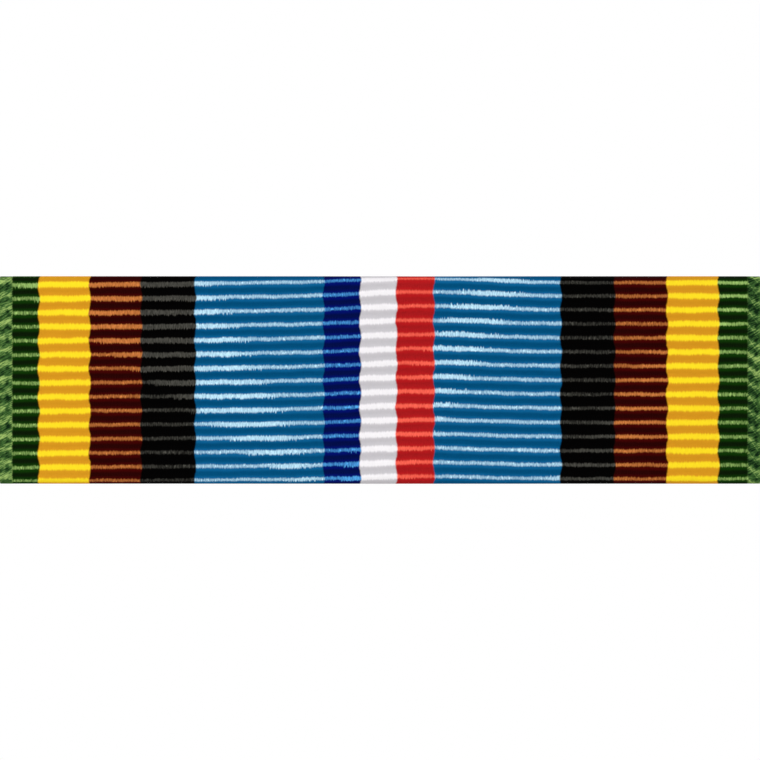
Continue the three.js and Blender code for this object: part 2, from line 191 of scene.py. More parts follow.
# ---- Ribbon core ----
# A flat plate of half-hard brass that gives the ribbon its shape. Its edges are tumbled round, and three
# stakes are half pierced out of its back, put through the slide channel and headed over.
CORE_SHEET = 0.45
CORE_EDGE = 0.06
STAKES = (-12, 0, 12)
STAKE_RADIUS = 0.75
STAKE_DIMPLE = 0.28
STAKE_FLOOR = 0.1
STAKE_HEAD = (1.1, 0.2)
STAKE_RIM = 0.05
# The peened dome of each head: how far in from the rim a point lies, and how far below the top.
STAKE_DOME = ((0.1, 0.04), (0.35, 0))
# How far a cutting shape stands clear of the face that it cuts.
CUT_SPARE = 0.2
CORE_BRASS = (0.62, 0.47, 0.22, 1)
CORE_DULL = (0.40, 0.29, 0.13, 1)


def arc(x, y, radius, start, end, steps=8):
    """Points along part of a circle, with the angles in degrees."""
    angles = np.radians(np.linspace(start, end, steps + 1))
    return [(x + radius * math.cos(a), y + radius * math.sin(a)) for a in angles]


def drawn(outline, low, high, axes="YZX"):
    """A solid whose outline lies in the first two axes and is drawn out along the third."""
    shape = bmesh.new()
    first, second, along = ("XYZ".index(axis) for axis in axes)
    ends = []
    for height in (low, high):
        corners = []
        for a, b in outline:
            place = [0, 0, 0]
            place[first], place[second], place[along] = a, b, height
            corners.append(shape.verts.new(place))
        ends.append(corners)
    for i in range(len(outline)):
        shape.faces.new((ends[0][i - 1], ends[0][i], ends[1][i], ends[1][i - 1]))
    shape.faces.new(ends[0])
    shape.faces.new(ends[1][::-1])
    bmesh.ops.recalc_face_normals(shape, faces=shape.faces)
    return shape


def turned(profile, ring=False, turns=72):
    """A solid turned round the Y axis from (radius, y) points. A ring's profile closes on itself."""
    shape = bmesh.new()
    loops = []
    for radius, y in profile:
        if radius < 1e-6:
            loops.append([shape.verts.new((0, y, 0))] * turns)
            continue
        angles = (2 * math.pi * i / turns for i in range(turns))
        loops.append([shape.verts.new((radius * math.cos(a), y, radius * math.sin(a))) for a in angles])
    pairs = list(zip(loops, loops[1:])) + ([(loops[-1], loops[0])] if ring else [])
    for lower, upper in pairs:
        for i in range(turns):
            corners = dict.fromkeys((lower[i - 1], lower[i], upper[i], upper[i - 1]))
            if len(corners) > 2:
                shape.faces.new(corners)
    bmesh.ops.recalc_face_normals(shape, faces=shape.faces)
    return shape


def moved(shape, x=0, y=0, z=0):
    """The same solid, shifted."""
    bmesh.ops.translate(shape, verts=shape.verts, vec=(x, y, z))
    return shape


def fitted(body, *tools, how="DIFFERENCE"):
    """The body with each tool cut away, joined on or kept in common."""
    for tool in tools:
        pair = []
        for part in (body, tool):
            mesh = bpy.data.meshes.new("blank")
            part.to_mesh(mesh)
            part.free()
            pair.append(bpy.data.objects.new("blank", mesh))
            bpy.context.scene.collection.objects.link(pair[-1])
        step = pair[0].modifiers.new("fit", "BOOLEAN")
        step.operation = how
        step.object = pair[1]
        step.solver = "EXACT"
        ready = pair[0].evaluated_get(bpy.context.evaluated_depsgraph_get())
        body = bmesh.new()
        body.from_mesh(ready.to_mesh())
        ready.to_mesh_clear()
        for blank in pair:
            mesh = blank.data
            bpy.data.objects.remove(blank)
            bpy.data.meshes.remove(mesh)
    return body


def eased(shape, width, sharper_than=40, steps=2):
    """The sharp edges rounded off, with the new narrow faces marked as worn."""
    worn = shape.faces.layers.float.new("worn")
    bmesh.ops.remove_doubles(shape, verts=shape.verts, dist=1e-5)
    bmesh.ops.dissolve_limit(
        shape, angle_limit=math.radians(0.2), verts=shape.verts, edges=shape.edges
    )
    limit = math.radians(sharper_than)
    sharp = [e for e in shape.edges if len(e.link_faces) == 2 and e.calc_face_angle() > limit]
    made = bmesh.ops.bevel(
        shape,
        geom=sharp,
        offset=width,
        offset_type="OFFSET",
        segments=steps,
        profile=0.5,
        affect="EDGES",
        clamp_overlap=True,
    )
    for face in made["faces"]:
        face[worn] = 1
    return shape


def made_piece(name, shape, material, place=(0, 0, 0), smooth_under=35):
    """A piece of the bar, in metres, with its material and its smooth faces."""
    bmesh.ops.scale(shape, verts=shape.verts, vec=(MM, MM, MM))
    mesh = bpy.data.meshes.new(name)
    shape.to_mesh(mesh)
    shape.free()
    mesh.polygons.foreach_set("use_smooth", [True] * len(mesh.polygons))
    mesh.set_sharp_from_angle(angle=math.radians(smooth_under))
    mesh.materials.append(material)
    piece = bpy.data.objects.new(name, mesh)
    piece.location = Vector(place) * MM
    bpy.context.scene.collection.objects.link(piece)
    return piece


def noise(nodes, place, scale, detail=4.0, stretch=(1, 1, 1)):
    """Cloudy variation from 0 to 1. Scale is the number of spots in a millimetre."""
    laid = add(nodes, "Mapping")
    feed(laid.inputs["Vector"], place)
    laid.inputs["Scale"].default_value = stretch
    made = add(nodes, "TexNoise")
    feed(made.inputs["Vector"], laid.outputs[0])
    made.inputs["Scale"].default_value = scale
    made.inputs["Detail"].default_value = detail
    return made.outputs["Fac"]


def tinted(nodes, factor, first, second, blend_type="MIX"):
    """One colour going over into another."""
    made = add(nodes, "Mix", data_type="RGBA", blend_type=blend_type)
    for socket, value in zip((made.inputs[0], made.inputs[6], made.inputs[7]), (factor, first, second)):
        feed(socket, value)
    return made.outputs[2]


def bumped(nodes, height, depth, strength=1.0, under=None):
    """A fine relief in the finish, as deep as depth in millimetres."""
    made = add(nodes, "Bump")
    made.inputs["Distance"].default_value = depth * MM
    made.inputs["Strength"].default_value = strength
    feed(made.inputs["Height"], height)
    if under is not None:
        feed(made.inputs["Normal"], under)
    return made.outputs[0]


def metal(name, bright, dull, roughness, grain, tarnish=0.5, marks=None):
    """Worked metal: fine grain along its stretch, dulled in patches, and brighter on its worn edges.
    marks is a function that adds the tool marks of that piece's own making."""
    made = bpy.data.materials.new(name)
    made.use_nodes = True
    nodes = made.node_tree.nodes
    shader = nodes["Principled BSDF"]
    shader.inputs["Metallic"].default_value = 1
    place = add(nodes, "VectorMath", operation="SCALE")
    feed(place.inputs[0], add(nodes, "TexCoord").outputs["Object"])
    place.inputs["Scale"].default_value = 1 / MM
    place = place.outputs[0]
    lines = noise(nodes, place, 1, 5, grain)
    patches = ease(nodes, noise(nodes, place, 0.55, 5), 0.42, 0.72)
    specks = ease(nodes, noise(nodes, place, 5, 3), 0.62, 0.75)
    edge = add(nodes, "Attribute", attribute_name="worn").outputs["Fac"]
    dark = sums(nodes, "MULTIPLY", sums(nodes, "MAXIMUM", patches, specks), tarnish)
    dark = sums(nodes, "MULTIPLY", dark, sums(nodes, "SUBTRACT", 1, edge))
    colour = tinted(nodes, dark, bright, dull)
    feed(shader.inputs["Base Color"], colour)
    rough = sums(nodes, "MULTIPLY_ADD", lines, 0.16, roughness - 0.08)
    rough = sums(nodes, "MULTIPLY_ADD", dark, 0.18, rough)
    rough = sums(nodes, "MULTIPLY_ADD", edge, -0.06, rough, clamp=True)
    feed(shader.inputs["Roughness"], rough)
    relief = bumped(nodes, lines, 0.004)
    relief = bumped(nodes, noise(nodes, place, 0.9, 2), 0.02, 0.5, relief)
    if marks:
        relief = marks(nodes, place, relief)
    feed(shader.inputs["Normal"], relief)
    return made


core_low, core_high = (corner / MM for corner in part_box("ribbon_core"))
plate_back = core_low.y + CORE_SHEET
half_height = core_high.z
plate = drawn(
    [
        (core_low.y, -half_height),
        (plate_back, -half_height),
        (plate_back, half_height),
        (core_low.y, half_height),
    ],
    core_low.x,
    core_high.x,
)
head_radius, head_thickness = STAKE_HEAD
head_front = core_high.y - head_thickness
dimple_floor = core_low.y + STAKE_DIMPLE
for x in STAKES:
    # The shank stands on the plate, and the peened head is domed with a soft rim.
    stake = turned(
        [
            (0, dimple_floor + STAKE_FLOOR),
            (STAKE_RADIUS, dimple_floor + STAKE_FLOOR),
            (STAKE_RADIUS, head_front),
            (head_radius - STAKE_RIM, head_front),
            (head_radius, head_front + STAKE_RIM),
            (head_radius, head_front + 2 * STAKE_RIM),
            *((head_radius - inward, core_high.y - below) for inward, below in STAKE_DOME),
            (0, core_high.y),
        ]
    )
    dimple = turned(
        [
            (0, core_low.y - CUT_SPARE),
            (STAKE_RADIUS, core_low.y - CUT_SPARE),
            (STAKE_RADIUS, dimple_floor),
            (0, dimple_floor),
        ]
    )
    plate = fitted(plate, moved(stake, x=x), how="UNION")
    plate = fitted(plate, moved(dimple, x=x))
core_brass = metal("core_brass", CORE_BRASS, CORE_DULL, 0.42, (0.6, 14, 14), 0.7)
core = made_piece("core_plate", eased(plate, CORE_EDGE), core_brass)
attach(core, "ribbon_unit")
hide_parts("ribbon_core")

# ---- Ribbon ----
# Grosgrain woven in one piece: fine warp threads in thirteen stripes pass over stout wefts, and each weft
# makes a rib. Its face lies over the core, both long edges fold round it, and the ends are turned in behind.
RIBBON_FOLD = (0.41, 0.09)
TURN_IN = 2.5
RIB_PITCH = 0.6466
RIB_DEPTH = 0.10
RIB_STEPS = 10
COLUMN = 0.3
SELVEDGE = 0.62
SELVEDGE_COLUMN = 0.046
WEAVE_WANDER = 0.045
SELVEDGE_ROUND = 0.05
SELVEDGE_FULLNESS = 0.8
SCALLOP = 0.01
# The top rib's crest lies this far below the ribbon's upper edge, less a bow: its summit's place across, its
# breadth, its rise, and its slope down to the left. The bow dies out over the last stretch of the cloth.
TOP_CREST = 0.27
BOW = (19.2, 3.8, 0.15, 0.0075)
BOW_FADE = 1.5
# Two slow waves in the ribs: how high they are, and how fast they run across and from rib to rib.
WAVERS = ((0.010, 1.9, 2.4), (0.008, 4.7, -1.7))
# The top ribs lie closer together on the right: by how much, from where across, over what width, and down
# how many ribs.
TOP_CLOSING = (0.06, 21, 4, 1.3)
# How much of the rib's relief is left round a fold, at places counted from the start of the fold.
FOLD_RELIEF = ((-0.3, 1), (0.45, 0.1), (0.75, 0.1), (1.1, 1))
# The line on each fold where the painted sheen is taken off: its place from the fold's start, its strength
# and how fast it fades.
SHEEN_OFF_LINE = (0.6, 1.3, 0.22)
# The selvedges, with the left one's value first: how far a loop lags behind its rib at the root and how much
# further at the tip, how high the loops' body, tips and waves stand, how high the tying thread stands and how
# much that drops within a rib, and where each small hole lies across and behind its rib.
LOOP_LAG = (-0.45, 0.15)
LOOP_SLANT = (0.2, 0.4)
LOOP_BODY = (0.22, 0.08)
LOOP_TIP = (0, 0.22)
LOOP_WAVE = (0.55, 0.5)
TIE_HEIGHT = (0.45, 0.95)
TIE_DROP = (0, 0.5)
HOLE_PLACE = (0.40, 0.21)
HOLE_LAG = (-0.08, 0.2)
HOLE_SIZE = (0.065, 0.13)
HOLE_DEPTH = 0.9
# The tying thread's place, its width, how far it crosses within a rib on the right and wavers on the left.
TIE_PLACE = 0.60
TIE_WIDTH = 0.055
TIE_CROSSING = 0.47
TIE_WAVER = 0.03
# How often each kind of variation changes, to the millimetre across and from rib to rib.
TUFTS = (15, 7.3, 1)
NEIGHBOURS = (12, 3.7, 1)
UPPER_THREADS = (13, 5.1, 1)
FIBRES = (19, 2.2, 1)
GLINTS = (9, 3.3, 1)
STRANDS = (13, 3.5, 1)
SLOW_CHANGE = (0.45, 0.7, 1)
STRIPE_WAVER = (0.8, 2.6, 1)
STRIPE_RAGGED = 0.08
STRIPE_BLUR = 0.04
# This near to the ribbon's middle, the stripes' edges lean the other way.
OTHER_LEAN = 5
# The sheen's height above the crest and its softness, in ribs. The first two reaches are how much a thread's
# own length adds to the sheen's, and then its least length. The third is what an even stripe adds to it.
SHEEN_RISE = 0.04
SHEEN_SOFT = 0.065
SHEEN_REACH = (0.06, 0.08)
BAND_SHEEN_REACH = (0.08, 0.09)
EVEN_REACH = (0.35, -0.21)
EVEN_SOFTNESS = 0.04
FIBRE_SHINE = (0.45, 0.15)
GLINT_SHINE = 0.6
GLINT_RANGE = (0.64, 0.78)
SLOW_SHINE = 0.12
BAND_SHEEN_SHINE = 0.34
BAND_SHEEN_RANGE = (0.75, 1.05)
SHEEN_OFF_STRENGTH = 0.9
FLANK = (0.16, 0.44)
FLANK_LIGHT = 0.13
CLOTH_ROUGHNESS = (0.72, 0.18)
# Where the bands of broader, paler painted sheen start and end across the top rib, and how far each limit
# moves with every rib down.
SHEEN_BANDS = ((1.0, 0.9, 9.4, 0.33), (22.0, -0.46, 23.8, -0.38), (32.5, -0.5, 35.0, -0.5))
# Each stripe's threads: their dyed colour with painted shade deep in the rib, their dyed colour with a
# painted highlight where the rib's top catches the light, and how even that light is. After them comes each
# stripe's far edge from the left selvedge.
GREEN = ((0.0030, 0.010, 0.0013), (0.36, 0.58, 0.16), 0.08)
YELLOW = ((0.66, 0.30, 0.014), (0.97, 0.74, 0.018), 0.85)
BROWN = ((0.022, 0.0008, 0.0006), (0.62, 0.205, 0.050), 0.3)
BLACK = ((0.0003, 0.0002, 0.0002), (0.070, 0.068, 0.058), 0.0)
LIGHT_BLUE = ((0.0003, 0.074, 0.190), (0.55, 0.83, 0.98), 0.3)
NAVY = ((0.0003, 0.004, 0.066), (0.085, 0.40, 0.86), 0.15)
CREAM = ((0.57, 0.55, 0.58), (0.91, 0.885, 0.91), 0.85)
RED = ((0.385, 0.010, 0.012), (0.97, 0.135, 0.087), 0.55)
LOOP_SHADOW = (0.004, 0.018, 0.005, 1)
LOOP_GREEN = (0.05, 0.13, 0.03, 1)
LOOP_LIGHT = (0.34, 0.50, 0.14, 1)
STRIPES = (
    (GREEN, 1.84),
    (YELLOW, 4.165),
    (BROWN, 6.525),
    (BLACK, 9.005),
    (LIGHT_BLUE, 14.88),
    (NAVY, 16.56),
    (CREAM, 18.21),
    (RED, 19.93),
    (LIGHT_BLUE, 25.74),
    (BLACK, 28.21),
    (BROWN, 30.61),
    (YELLOW, 32.96),
    (GREEN, ribbon_width),
)

fold_outer, fold_inner = RIBBON_FOLD
ribbon_half = ribbon_high.z
flat_half = ribbon_half - fold_outer
fold_front = ribbon_low.y + fold_outer
fold_depth = ribbon_high.y - ribbon_low.y - 2 * fold_outer
quarter = fold_outer * math.pi / 2
turn_length = TURN_IN - fold_outer
cloth_half = flat_half + 2 * quarter + fold_depth + turn_length


def bow(across):
    """How far the top rib's crest lies below the ribbon's upper edge, at each place across the ribbon."""
    summit, breadth, rise, slope = BOW
    past = across - summit
    return TOP_CREST - rise * np.exp(-((past / breadth) ** 2)) + slope * np.maximum(0, -past)


def folded(along, depth):
    """Where the cloth goes: along is the way round from the middle of the face, and depth the way in."""
    way = np.abs(along)
    turn = np.clip((way - flat_half) / fold_outer, 0, math.pi / 2)
    back = np.clip(way - flat_half - quarter, 0, fold_depth)
    turn = turn + np.clip((way - flat_half - quarter - fold_depth) / fold_outer, 0, math.pi / 2)
    down = np.clip(way - flat_half - 2 * quarter - fold_depth, 0, turn_length)
    radius = fold_outer - depth
    y = fold_front + back - radius * np.cos(turn)
    z = np.minimum(way, flat_half) - down + radius * np.sin(turn)
    return y, z * np.sign(along)


def weave_height(across, rib):
    """How high the threads stand, from 0 in a hollow to 1 on a crest. Crests are at whole rib numbers."""
    crest = 1 - np.abs(2 * (rib - np.round(rib))) ** 2.2
    right = across > ribbon_width / 2
    from_edge = np.minimum(across, ribbon_width - across)
    out = np.clip(1 - from_edge / SELVEDGE, 0, 1)

    def own(pair):
        """The left selvedge's value on the left, and the right one's on the right."""
        return np.where(right, pair[1], pair[0])

    # At each selvedge the weft comes round in a slanting loop, and a small hole is left beside each loop's
    # root. One thread ties the roots: it runs along them on the left, and from each rib to the next on the
    # right.
    loop = 0.5 + 0.5 * np.cos(2 * math.pi * (rib - (own(LOOP_LAG) + own(LOOP_SLANT) * out)))
    past = rib % 1
    waver = TIE_WAVER * np.cos(2 * math.pi * (rib + 0.1))
    tie = np.where(right, TIE_PLACE - TIE_CROSSING * past, TIE_PLACE + waver)
    root = np.exp(-(((from_edge - tie) / TIE_WIDTH) ** 2)) * (own(TIE_HEIGHT) - own(TIE_DROP) * past)
    hole_phase = rib - own(HOLE_LAG)
    hole_phase = hole_phase - np.round(hole_phase)
    hole_width, hole_length = HOLE_SIZE
    hole_off = (from_edge - own(HOLE_PLACE)) / hole_width
    hole = np.exp(-(hole_off**2) - (hole_phase / hole_length) ** 2)
    body = own(LOOP_BODY) + own(LOOP_TIP) * out**3 + own(LOOP_WAVE) * loop
    edging = np.clip(np.maximum(body, root) - HOLE_DEPTH * hole, 0, 1)
    share = np.clip((SELVEDGE + 0.03 - from_edge) / 0.06, 0, 1)
    return crest * (1 - share) + edging * share


def ribbon_mesh():
    """The closed mesh of the cloth, with the weave's own coordinates as its UV map."""
    top_crest = ribbon_half - TOP_CREST
    ends = [(top_crest + side * cloth_half) / RIB_PITCH for side in (-1, 1)]
    first, last = (math.ceil(ends[0] * RIB_STEPS), math.floor(ends[1] * RIB_STEPS))
    ribs = np.array([ends[0], *(np.arange(first, last + 1) / RIB_STEPS), ends[1]])
    ribs = ribs[np.concatenate([[True], np.diff(ribs) > 0.02])]
    edging = np.arange(0, SELVEDGE + 0.06, SELVEDGE_COLUMN)
    inner = np.linspace(edging[-1], ribbon_width - edging[-1], round(ribbon_width / COLUMN))
    columns = np.concatenate([edging[:-1], inner, (ribbon_width - edging[:-1])[::-1]])
    across, rib = np.meshgrid(columns, ribs)
    level = top_crest - rib * RIB_PITCH
    free = np.clip((cloth_half - np.abs(level)) / BOW_FADE, 0, 1)
    waver = sum(high * np.sin(across * fast + rib * drift) for high, fast, drift in WAVERS)
    bowed = (bow(across) - TOP_CREST) * (1 + 0.15 * level / ribbon_half) + waver
    closing, start, width, depth = TOP_CLOSING
    bowed = bowed + closing * np.clip((across - start) / width, 0, 1) * np.exp(-np.maximum(rib, 0) / depth)
    along = level - bowed * free
    height = weave_height(across, rib)
    from_edge = np.minimum(across, ribbon_width - across)
    rounding = 1 - np.sqrt(1 - np.clip(1 - from_edge / SELVEDGE_ROUND, 0, 1) ** 2)
    middle = (fold_outer + fold_inner) / 2
    half = (fold_outer - fold_inner) / 2
    # The ribs are drawn flatter where the cloth is pulled tight round the folds.
    bend, left_over = np.transpose(FOLD_RELIEF)
    tight = np.interp(np.abs(along), flat_half + bend, left_over)
    outer = fold_outer - (1 - height) * RIB_DEPTH * tight - rounding * half * SELVEDGE_FULLNESS
    inside = fold_inner + rounding * half * SELVEDGE_FULLNESS
    points = []
    for radius in (outer, np.minimum(inside, middle)):
        y, z = folded(along, fold_outer - radius)
        scallop = SCALLOP * rounding * (1 - height)
        x = across - ribbon_width / 2 + np.where(across < ribbon_width / 2, scallop, -scallop)
        points.append(np.stack([x, y, z], -1).reshape(-1, 3))
    rows, wide = across.shape
    index = np.arange(rows * wide).reshape(rows, wide)
    quads = np.stack([index[:-1, :-1], index[:-1, 1:], index[1:, 1:], index[1:, :-1]], -1).reshape(-1, 4)
    under = quads[:, ::-1] + rows * wide
    rim = np.concatenate([index[0, :-1], index[:-1, -1], index[-1, :0:-1], index[:0:-1, 0]])
    after = np.roll(rim, -1)
    sides = np.stack([after, rim, rim + rows * wide, after + rows * wide], -1)
    faces = np.concatenate([quads, under, sides])
    mesh = bpy.data.meshes.new("ribbon_cloth")
    mesh.from_pydata(np.concatenate(points) * MM, [], faces.tolist())
    weave = mesh.uv_layers.new(name="weave")
    laid = np.stack([across, rib], -1).reshape(-1, 2)
    corners = faces.reshape(-1) % (rows * wide)
    weave.data.foreach_set("uv", laid[corners].astype(np.float32).reshape(-1))
    standing = mesh.attributes.new("height", "FLOAT", "POINT")
    standing.data.foreach_set("value", np.tile(height.reshape(-1), 2).astype(np.float32))
    # Where the painted sheen is taken off along each fold, kept as a point attribute.
    line, strength, fading = SHEEN_OFF_LINE
    fold_sheen_off = np.clip(strength - np.abs(np.abs(along) - flat_half - line) / fading, 0, 1)
    dulled = mesh.attributes.new("fold_sheen_off", "FLOAT", "POINT")
    dulled.data.foreach_set("value", np.tile(fold_sheen_off.reshape(-1), 2).astype(np.float32))
    mesh.polygons.foreach_set("use_smooth", [True] * len(mesh.polygons))
    return mesh


def half_lit(deep, lit):
    """The colour of the threads beside the painted sheen, with painted half-light: a little lighter than the
    deep ones, and richer.
    """
    strongest = max(lit)
    return [d + (c - d) * FLANK_LIGHT * strongest**2 * (c / strongest) ** 5 for d, c in zip(deep, lit)]


def spread(nodes, value):
    """Noise drawn out until it fills the whole way from 0 to 1."""
    return ease(nodes, value, 0.32, 0.68)


def ribbon_cloth_material():
    """Dyed warp threads with a narrow painted sheen on every rib and painted shade between, and green loops
    at the selvedges.
    """
    made = bpy.data.materials.new("grosgrain")
    made.use_nodes = True
    nodes = made.node_tree.nodes
    shader = nodes["Principled BSDF"]
    weave = add(nodes, "UVMap", uv_map="weave").outputs[0]
    split = add(nodes, "SeparateXYZ")
    feed(split.inputs[0], weave)
    across, rib = split.outputs["X"], split.outputs["Y"]
    crest = sums(nodes, "ROUND", rib)
    off = sums(nodes, "SUBTRACT", rib, crest)
    # False in the second light blue stripe, where the painted sheen in the bands reaches up instead of down.
    blue_left, blue_right = STRIPES[7][1], STRIPES[8][1]
    from_blue = sums(nodes, "ABSOLUTE", sums(nodes, "SUBTRACT", across, (blue_left + blue_right) / 2))
    downward = sums(nodes, "GREATER_THAN", from_blue, (blue_right - blue_left) / 2)

    # The warp threads lie side by side, about ten to the millimetre, each in its own way on each rib.
    spot = add(nodes, "CombineXYZ")
    feed(spot.inputs["X"], across)
    feed(spot.inputs["Y"], crest)
    spot = spot.outputs[0]
    tuft = spread(nodes, noise(nodes, spot, 1, 0, TUFTS))
    neighbour = spread(nodes, noise(nodes, spot, 1, 1, NEIGHBOURS))
    fibre = spread(nodes, noise(nodes, weave, 1, 1, FIBRES))
    slow = spread(nodes, noise(nodes, weave, 1, 2, SLOW_CHANGE))

    # Warp threads at a stripe's edge lean one way over one rib and the other way over the next.
    lean = sums(nodes, "COSINE", sums(nodes, "MULTIPLY", rib, math.pi))
    from_middle = sums(nodes, "ABSOLUTE", sums(nodes, "SUBTRACT", across, ribbon_width / 2))
    side = sums(nodes, "MULTIPLY_ADD", sums(nodes, "LESS_THAN", from_middle, OTHER_LEAN), 2, -1)
    lean = sums(nodes, "MULTIPLY", sums(nodes, "MULTIPLY", lean, side), WEAVE_WANDER)
    ragged = noise(nodes, weave, 1, 1, STRIPE_WAVER)
    ragged = sums(nodes, "MULTIPLY_ADD", ragged, STRIPE_RAGGED, -STRIPE_RAGGED / 2)
    laid = sums(nodes, "SUBTRACT", across, sums(nodes, "ADD", lean, ragged))
    deep, lit = ((*colour, 1) for colour in STRIPES[0][0][:2])
    near = (*half_lit(*STRIPES[0][0][:2]), 1)
    even = STRIPES[0][0][2]
    for (before, edge), (after, _) in zip(STRIPES, STRIPES[1:]):
        past = ease(nodes, laid, edge - STRIPE_BLUR, edge + STRIPE_BLUR)
        deep = tinted(nodes, past, deep, (*after[0], 1))
        near = tinted(nodes, past, near, (*half_lit(*after[:2]), 1))
        lit = tinted(nodes, past, lit, (*after[1], 1))
        even = sums(nodes, "MULTIPLY_ADD", past, after[2] - before[2], even)

    # In some slanting bands across the ribbon the painted sheen is broader and paler.
    band_sheen = 0.0
    for start, start_drift, end, end_drift in SHEEN_BANDS:
        after = sums(nodes, "SUBTRACT", across, sums(nodes, "MULTIPLY_ADD", crest, start_drift, start))
        before = sums(nodes, "SUBTRACT", sums(nodes, "MULTIPLY_ADD", crest, end_drift, end), across)
        band = sums(nodes, "MULTIPLY", ease(nodes, after, -0.8, 0.5), ease(nodes, before, -1.2, 0.4))
        band_sheen = sums(nodes, "MAXIMUM", band_sheen, band)
    band_sheen_here = ease(nodes, sums(nodes, "MULTIPLY_ADD", tuft, 0.7, band_sheen), *BAND_SHEEN_RANGE)

    # The painted sheen is a narrow line along the top of each rib. In the bands it reaches further down the
    # rib's side, or further up it in the second light blue stripe, each thread by its own length.
    short = sums(nodes, "MULTIPLY_ADD", neighbour, *SHEEN_REACH)
    above = spread(nodes, noise(nodes, spot, 1, 1, UPPER_THREADS))
    broad = sums(nodes, "MULTIPLY_ADD", even, *EVEN_REACH, clamp=True)
    steady = sums(nodes, "ADD", broad, sums(nodes, "MULTIPLY_ADD", above, *SHEEN_REACH))
    longer = sums(nodes, "MULTIPLY", band_sheen_here, sums(nodes, "MULTIPLY_ADD", tuft, *BAND_SHEEN_REACH))
    longer = sums(nodes, "MULTIPLY", longer, sums(nodes, "SUBTRACT", 1, even))
    # Right of the light blue the bands' painted sheen is brighter, but no longer.
    longer = sums(nodes, "MULTIPLY", longer, sums(nodes, "LESS_THAN", across, blue_right))
    down = sums(nodes, "MULTIPLY_ADD", longer, downward, sums(nodes, "ADD", broad, short))
    up = sums(nodes, "MULTIPLY_ADD", longer, sums(nodes, "SUBTRACT", 1, downward), steady)
    into = sums(nodes, "ADD", sums(nodes, "ADD", off, SHEEN_RISE), up)
    out = sums(nodes, "SUBTRACT", down, sums(nodes, "ADD", off, SHEEN_RISE))
    soft = sums(nodes, "MULTIPLY_ADD", even, EVEN_SOFTNESS, SHEEN_SOFT)
    hard = sums(nodes, "MULTIPLY", soft, -1)
    line = sums(nodes, "MULTIPLY", ease(nodes, into, hard, soft), ease(nodes, out, hard, soft))
    glint = ease(nodes, noise(nodes, weave, 1, 0, GLINTS), *GLINT_RANGE)
    shine = sums(nodes, "MULTIPLY_ADD", fibre, *FIBRE_SHINE)
    shine = sums(nodes, "MULTIPLY_ADD", glint, GLINT_SHINE, shine)
    shine = sums(nodes, "ADD", shine, sums(nodes, "MULTIPLY_ADD", slow, SLOW_SHINE, -SLOW_SHINE / 2))
    shine = sums(nodes, "MULTIPLY_ADD", band_sheen, BAND_SHEEN_SHINE, shine)
    plain = sums(nodes, "MULTIPLY", even, sums(nodes, "SUBTRACT", 1, shine))
    line = sums(nodes, "MULTIPLY", line, sums(nodes, "ADD", shine, plain), clamp=True)
    # The painted sheen is taken off the very edge of each fold.
    fold_sheen_off = add(nodes, "Attribute", attribute_name="fold_sheen_off").outputs["Fac"]
    line = sums(nodes, "MULTIPLY", line, sums(nodes, "MULTIPLY_ADD", fold_sheen_off, -SHEEN_OFF_STRENGTH, 1))
    flank = ease(nodes, sums(nodes, "ABSOLUTE", off), *FLANK, 1.0, 0.0)
    # Painted light: the deep colour holds the shade in the rib's hollow, the near colour a half-light on its
    # flanks, and the lit colour the sheen's highlight on its crest.
    colour = tinted(nodes, line, tinted(nodes, flank, deep, near), lit)

    # Green loops at the selvedges, each a bundle of fine strands, with painted shade in their hollows and
    # painted light on their tops.
    height = add(nodes, "Attribute", attribute_name="height").outputs["Fac"]
    slant = add(nodes, "CombineXYZ")
    feed(slant.inputs["X"], sums(nodes, "MULTIPLY_ADD", rib, 0.65, sums(nodes, "MULTIPLY", across, 0.5)))
    feed(slant.inputs["Y"], across)
    strand = spread(nodes, noise(nodes, slant.outputs[0], 1, 2, STRANDS))
    strand_light_and_shade = sums(nodes, "MULTIPLY_ADD", height, 0.8, sums(nodes, "MULTIPLY_ADD", strand, 0.5, -0.14))
    strand_light_and_shade = sums(nodes, "ADD", strand_light_and_shade, sums(nodes, "MULTIPLY_ADD", slow, 0.2, -0.1))
    loops = add(nodes, "ValToRGB")
    feed(loops.inputs[0], strand_light_and_shade)
    stops = loops.color_ramp.elements
    stops[0].position, stops[0].color = 0.05, LOOP_SHADOW
    stops[1].position, stops[1].color = 0.95, LOOP_LIGHT
    between = stops.new(0.5)
    between.color = LOOP_GREEN
    inner = ribbon_width / 2 - SELVEDGE
    edging = ease(nodes, from_middle, inner - 0.05, inner + 0.05)
    feed(shader.inputs["Base Color"], tinted(nodes, edging, colour, loops.outputs[0]))

    rough, smoother = CLOTH_ROUGHNESS
    feed(shader.inputs["Roughness"], sums(nodes, "MULTIPLY_ADD", line, -smoother, rough, clamp=True))
    shader.inputs["Specular IOR Level"].default_value = 0.015
    relief = bumped(nodes, tuft, 0.012, 0.5)
    feed(shader.inputs["Normal"], bumped(nodes, fibre, 0.006, 0.5, relief))
    return made


cloth = ribbon_mesh()
cloth.materials.append(ribbon_cloth_material())
ribbon = bpy.data.objects.new("ribbon_cloth", cloth)
bpy.context.scene.collection.objects.link(ribbon)
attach(ribbon, "ribbon_unit")
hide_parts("ribbon")

# ---- Slide channel ----
# A strip of brass folded back and in along both long edges, so that its lips make two rails. It is staked
# to the back of the core, over the ribbon's turned-in ends.
CHANNEL_SHEET = 0.35
CHANNEL_BEND = 0.3
CHANNEL_LIP = 2.943
STAKE_HOLE = 0.8
SHEET_EDGE = 0.05
CHANNEL_BRASS = (0.80, 0.58, 0.25, 1)
CHANNEL_DULL = (0.50, 0.34, 0.14, 1)


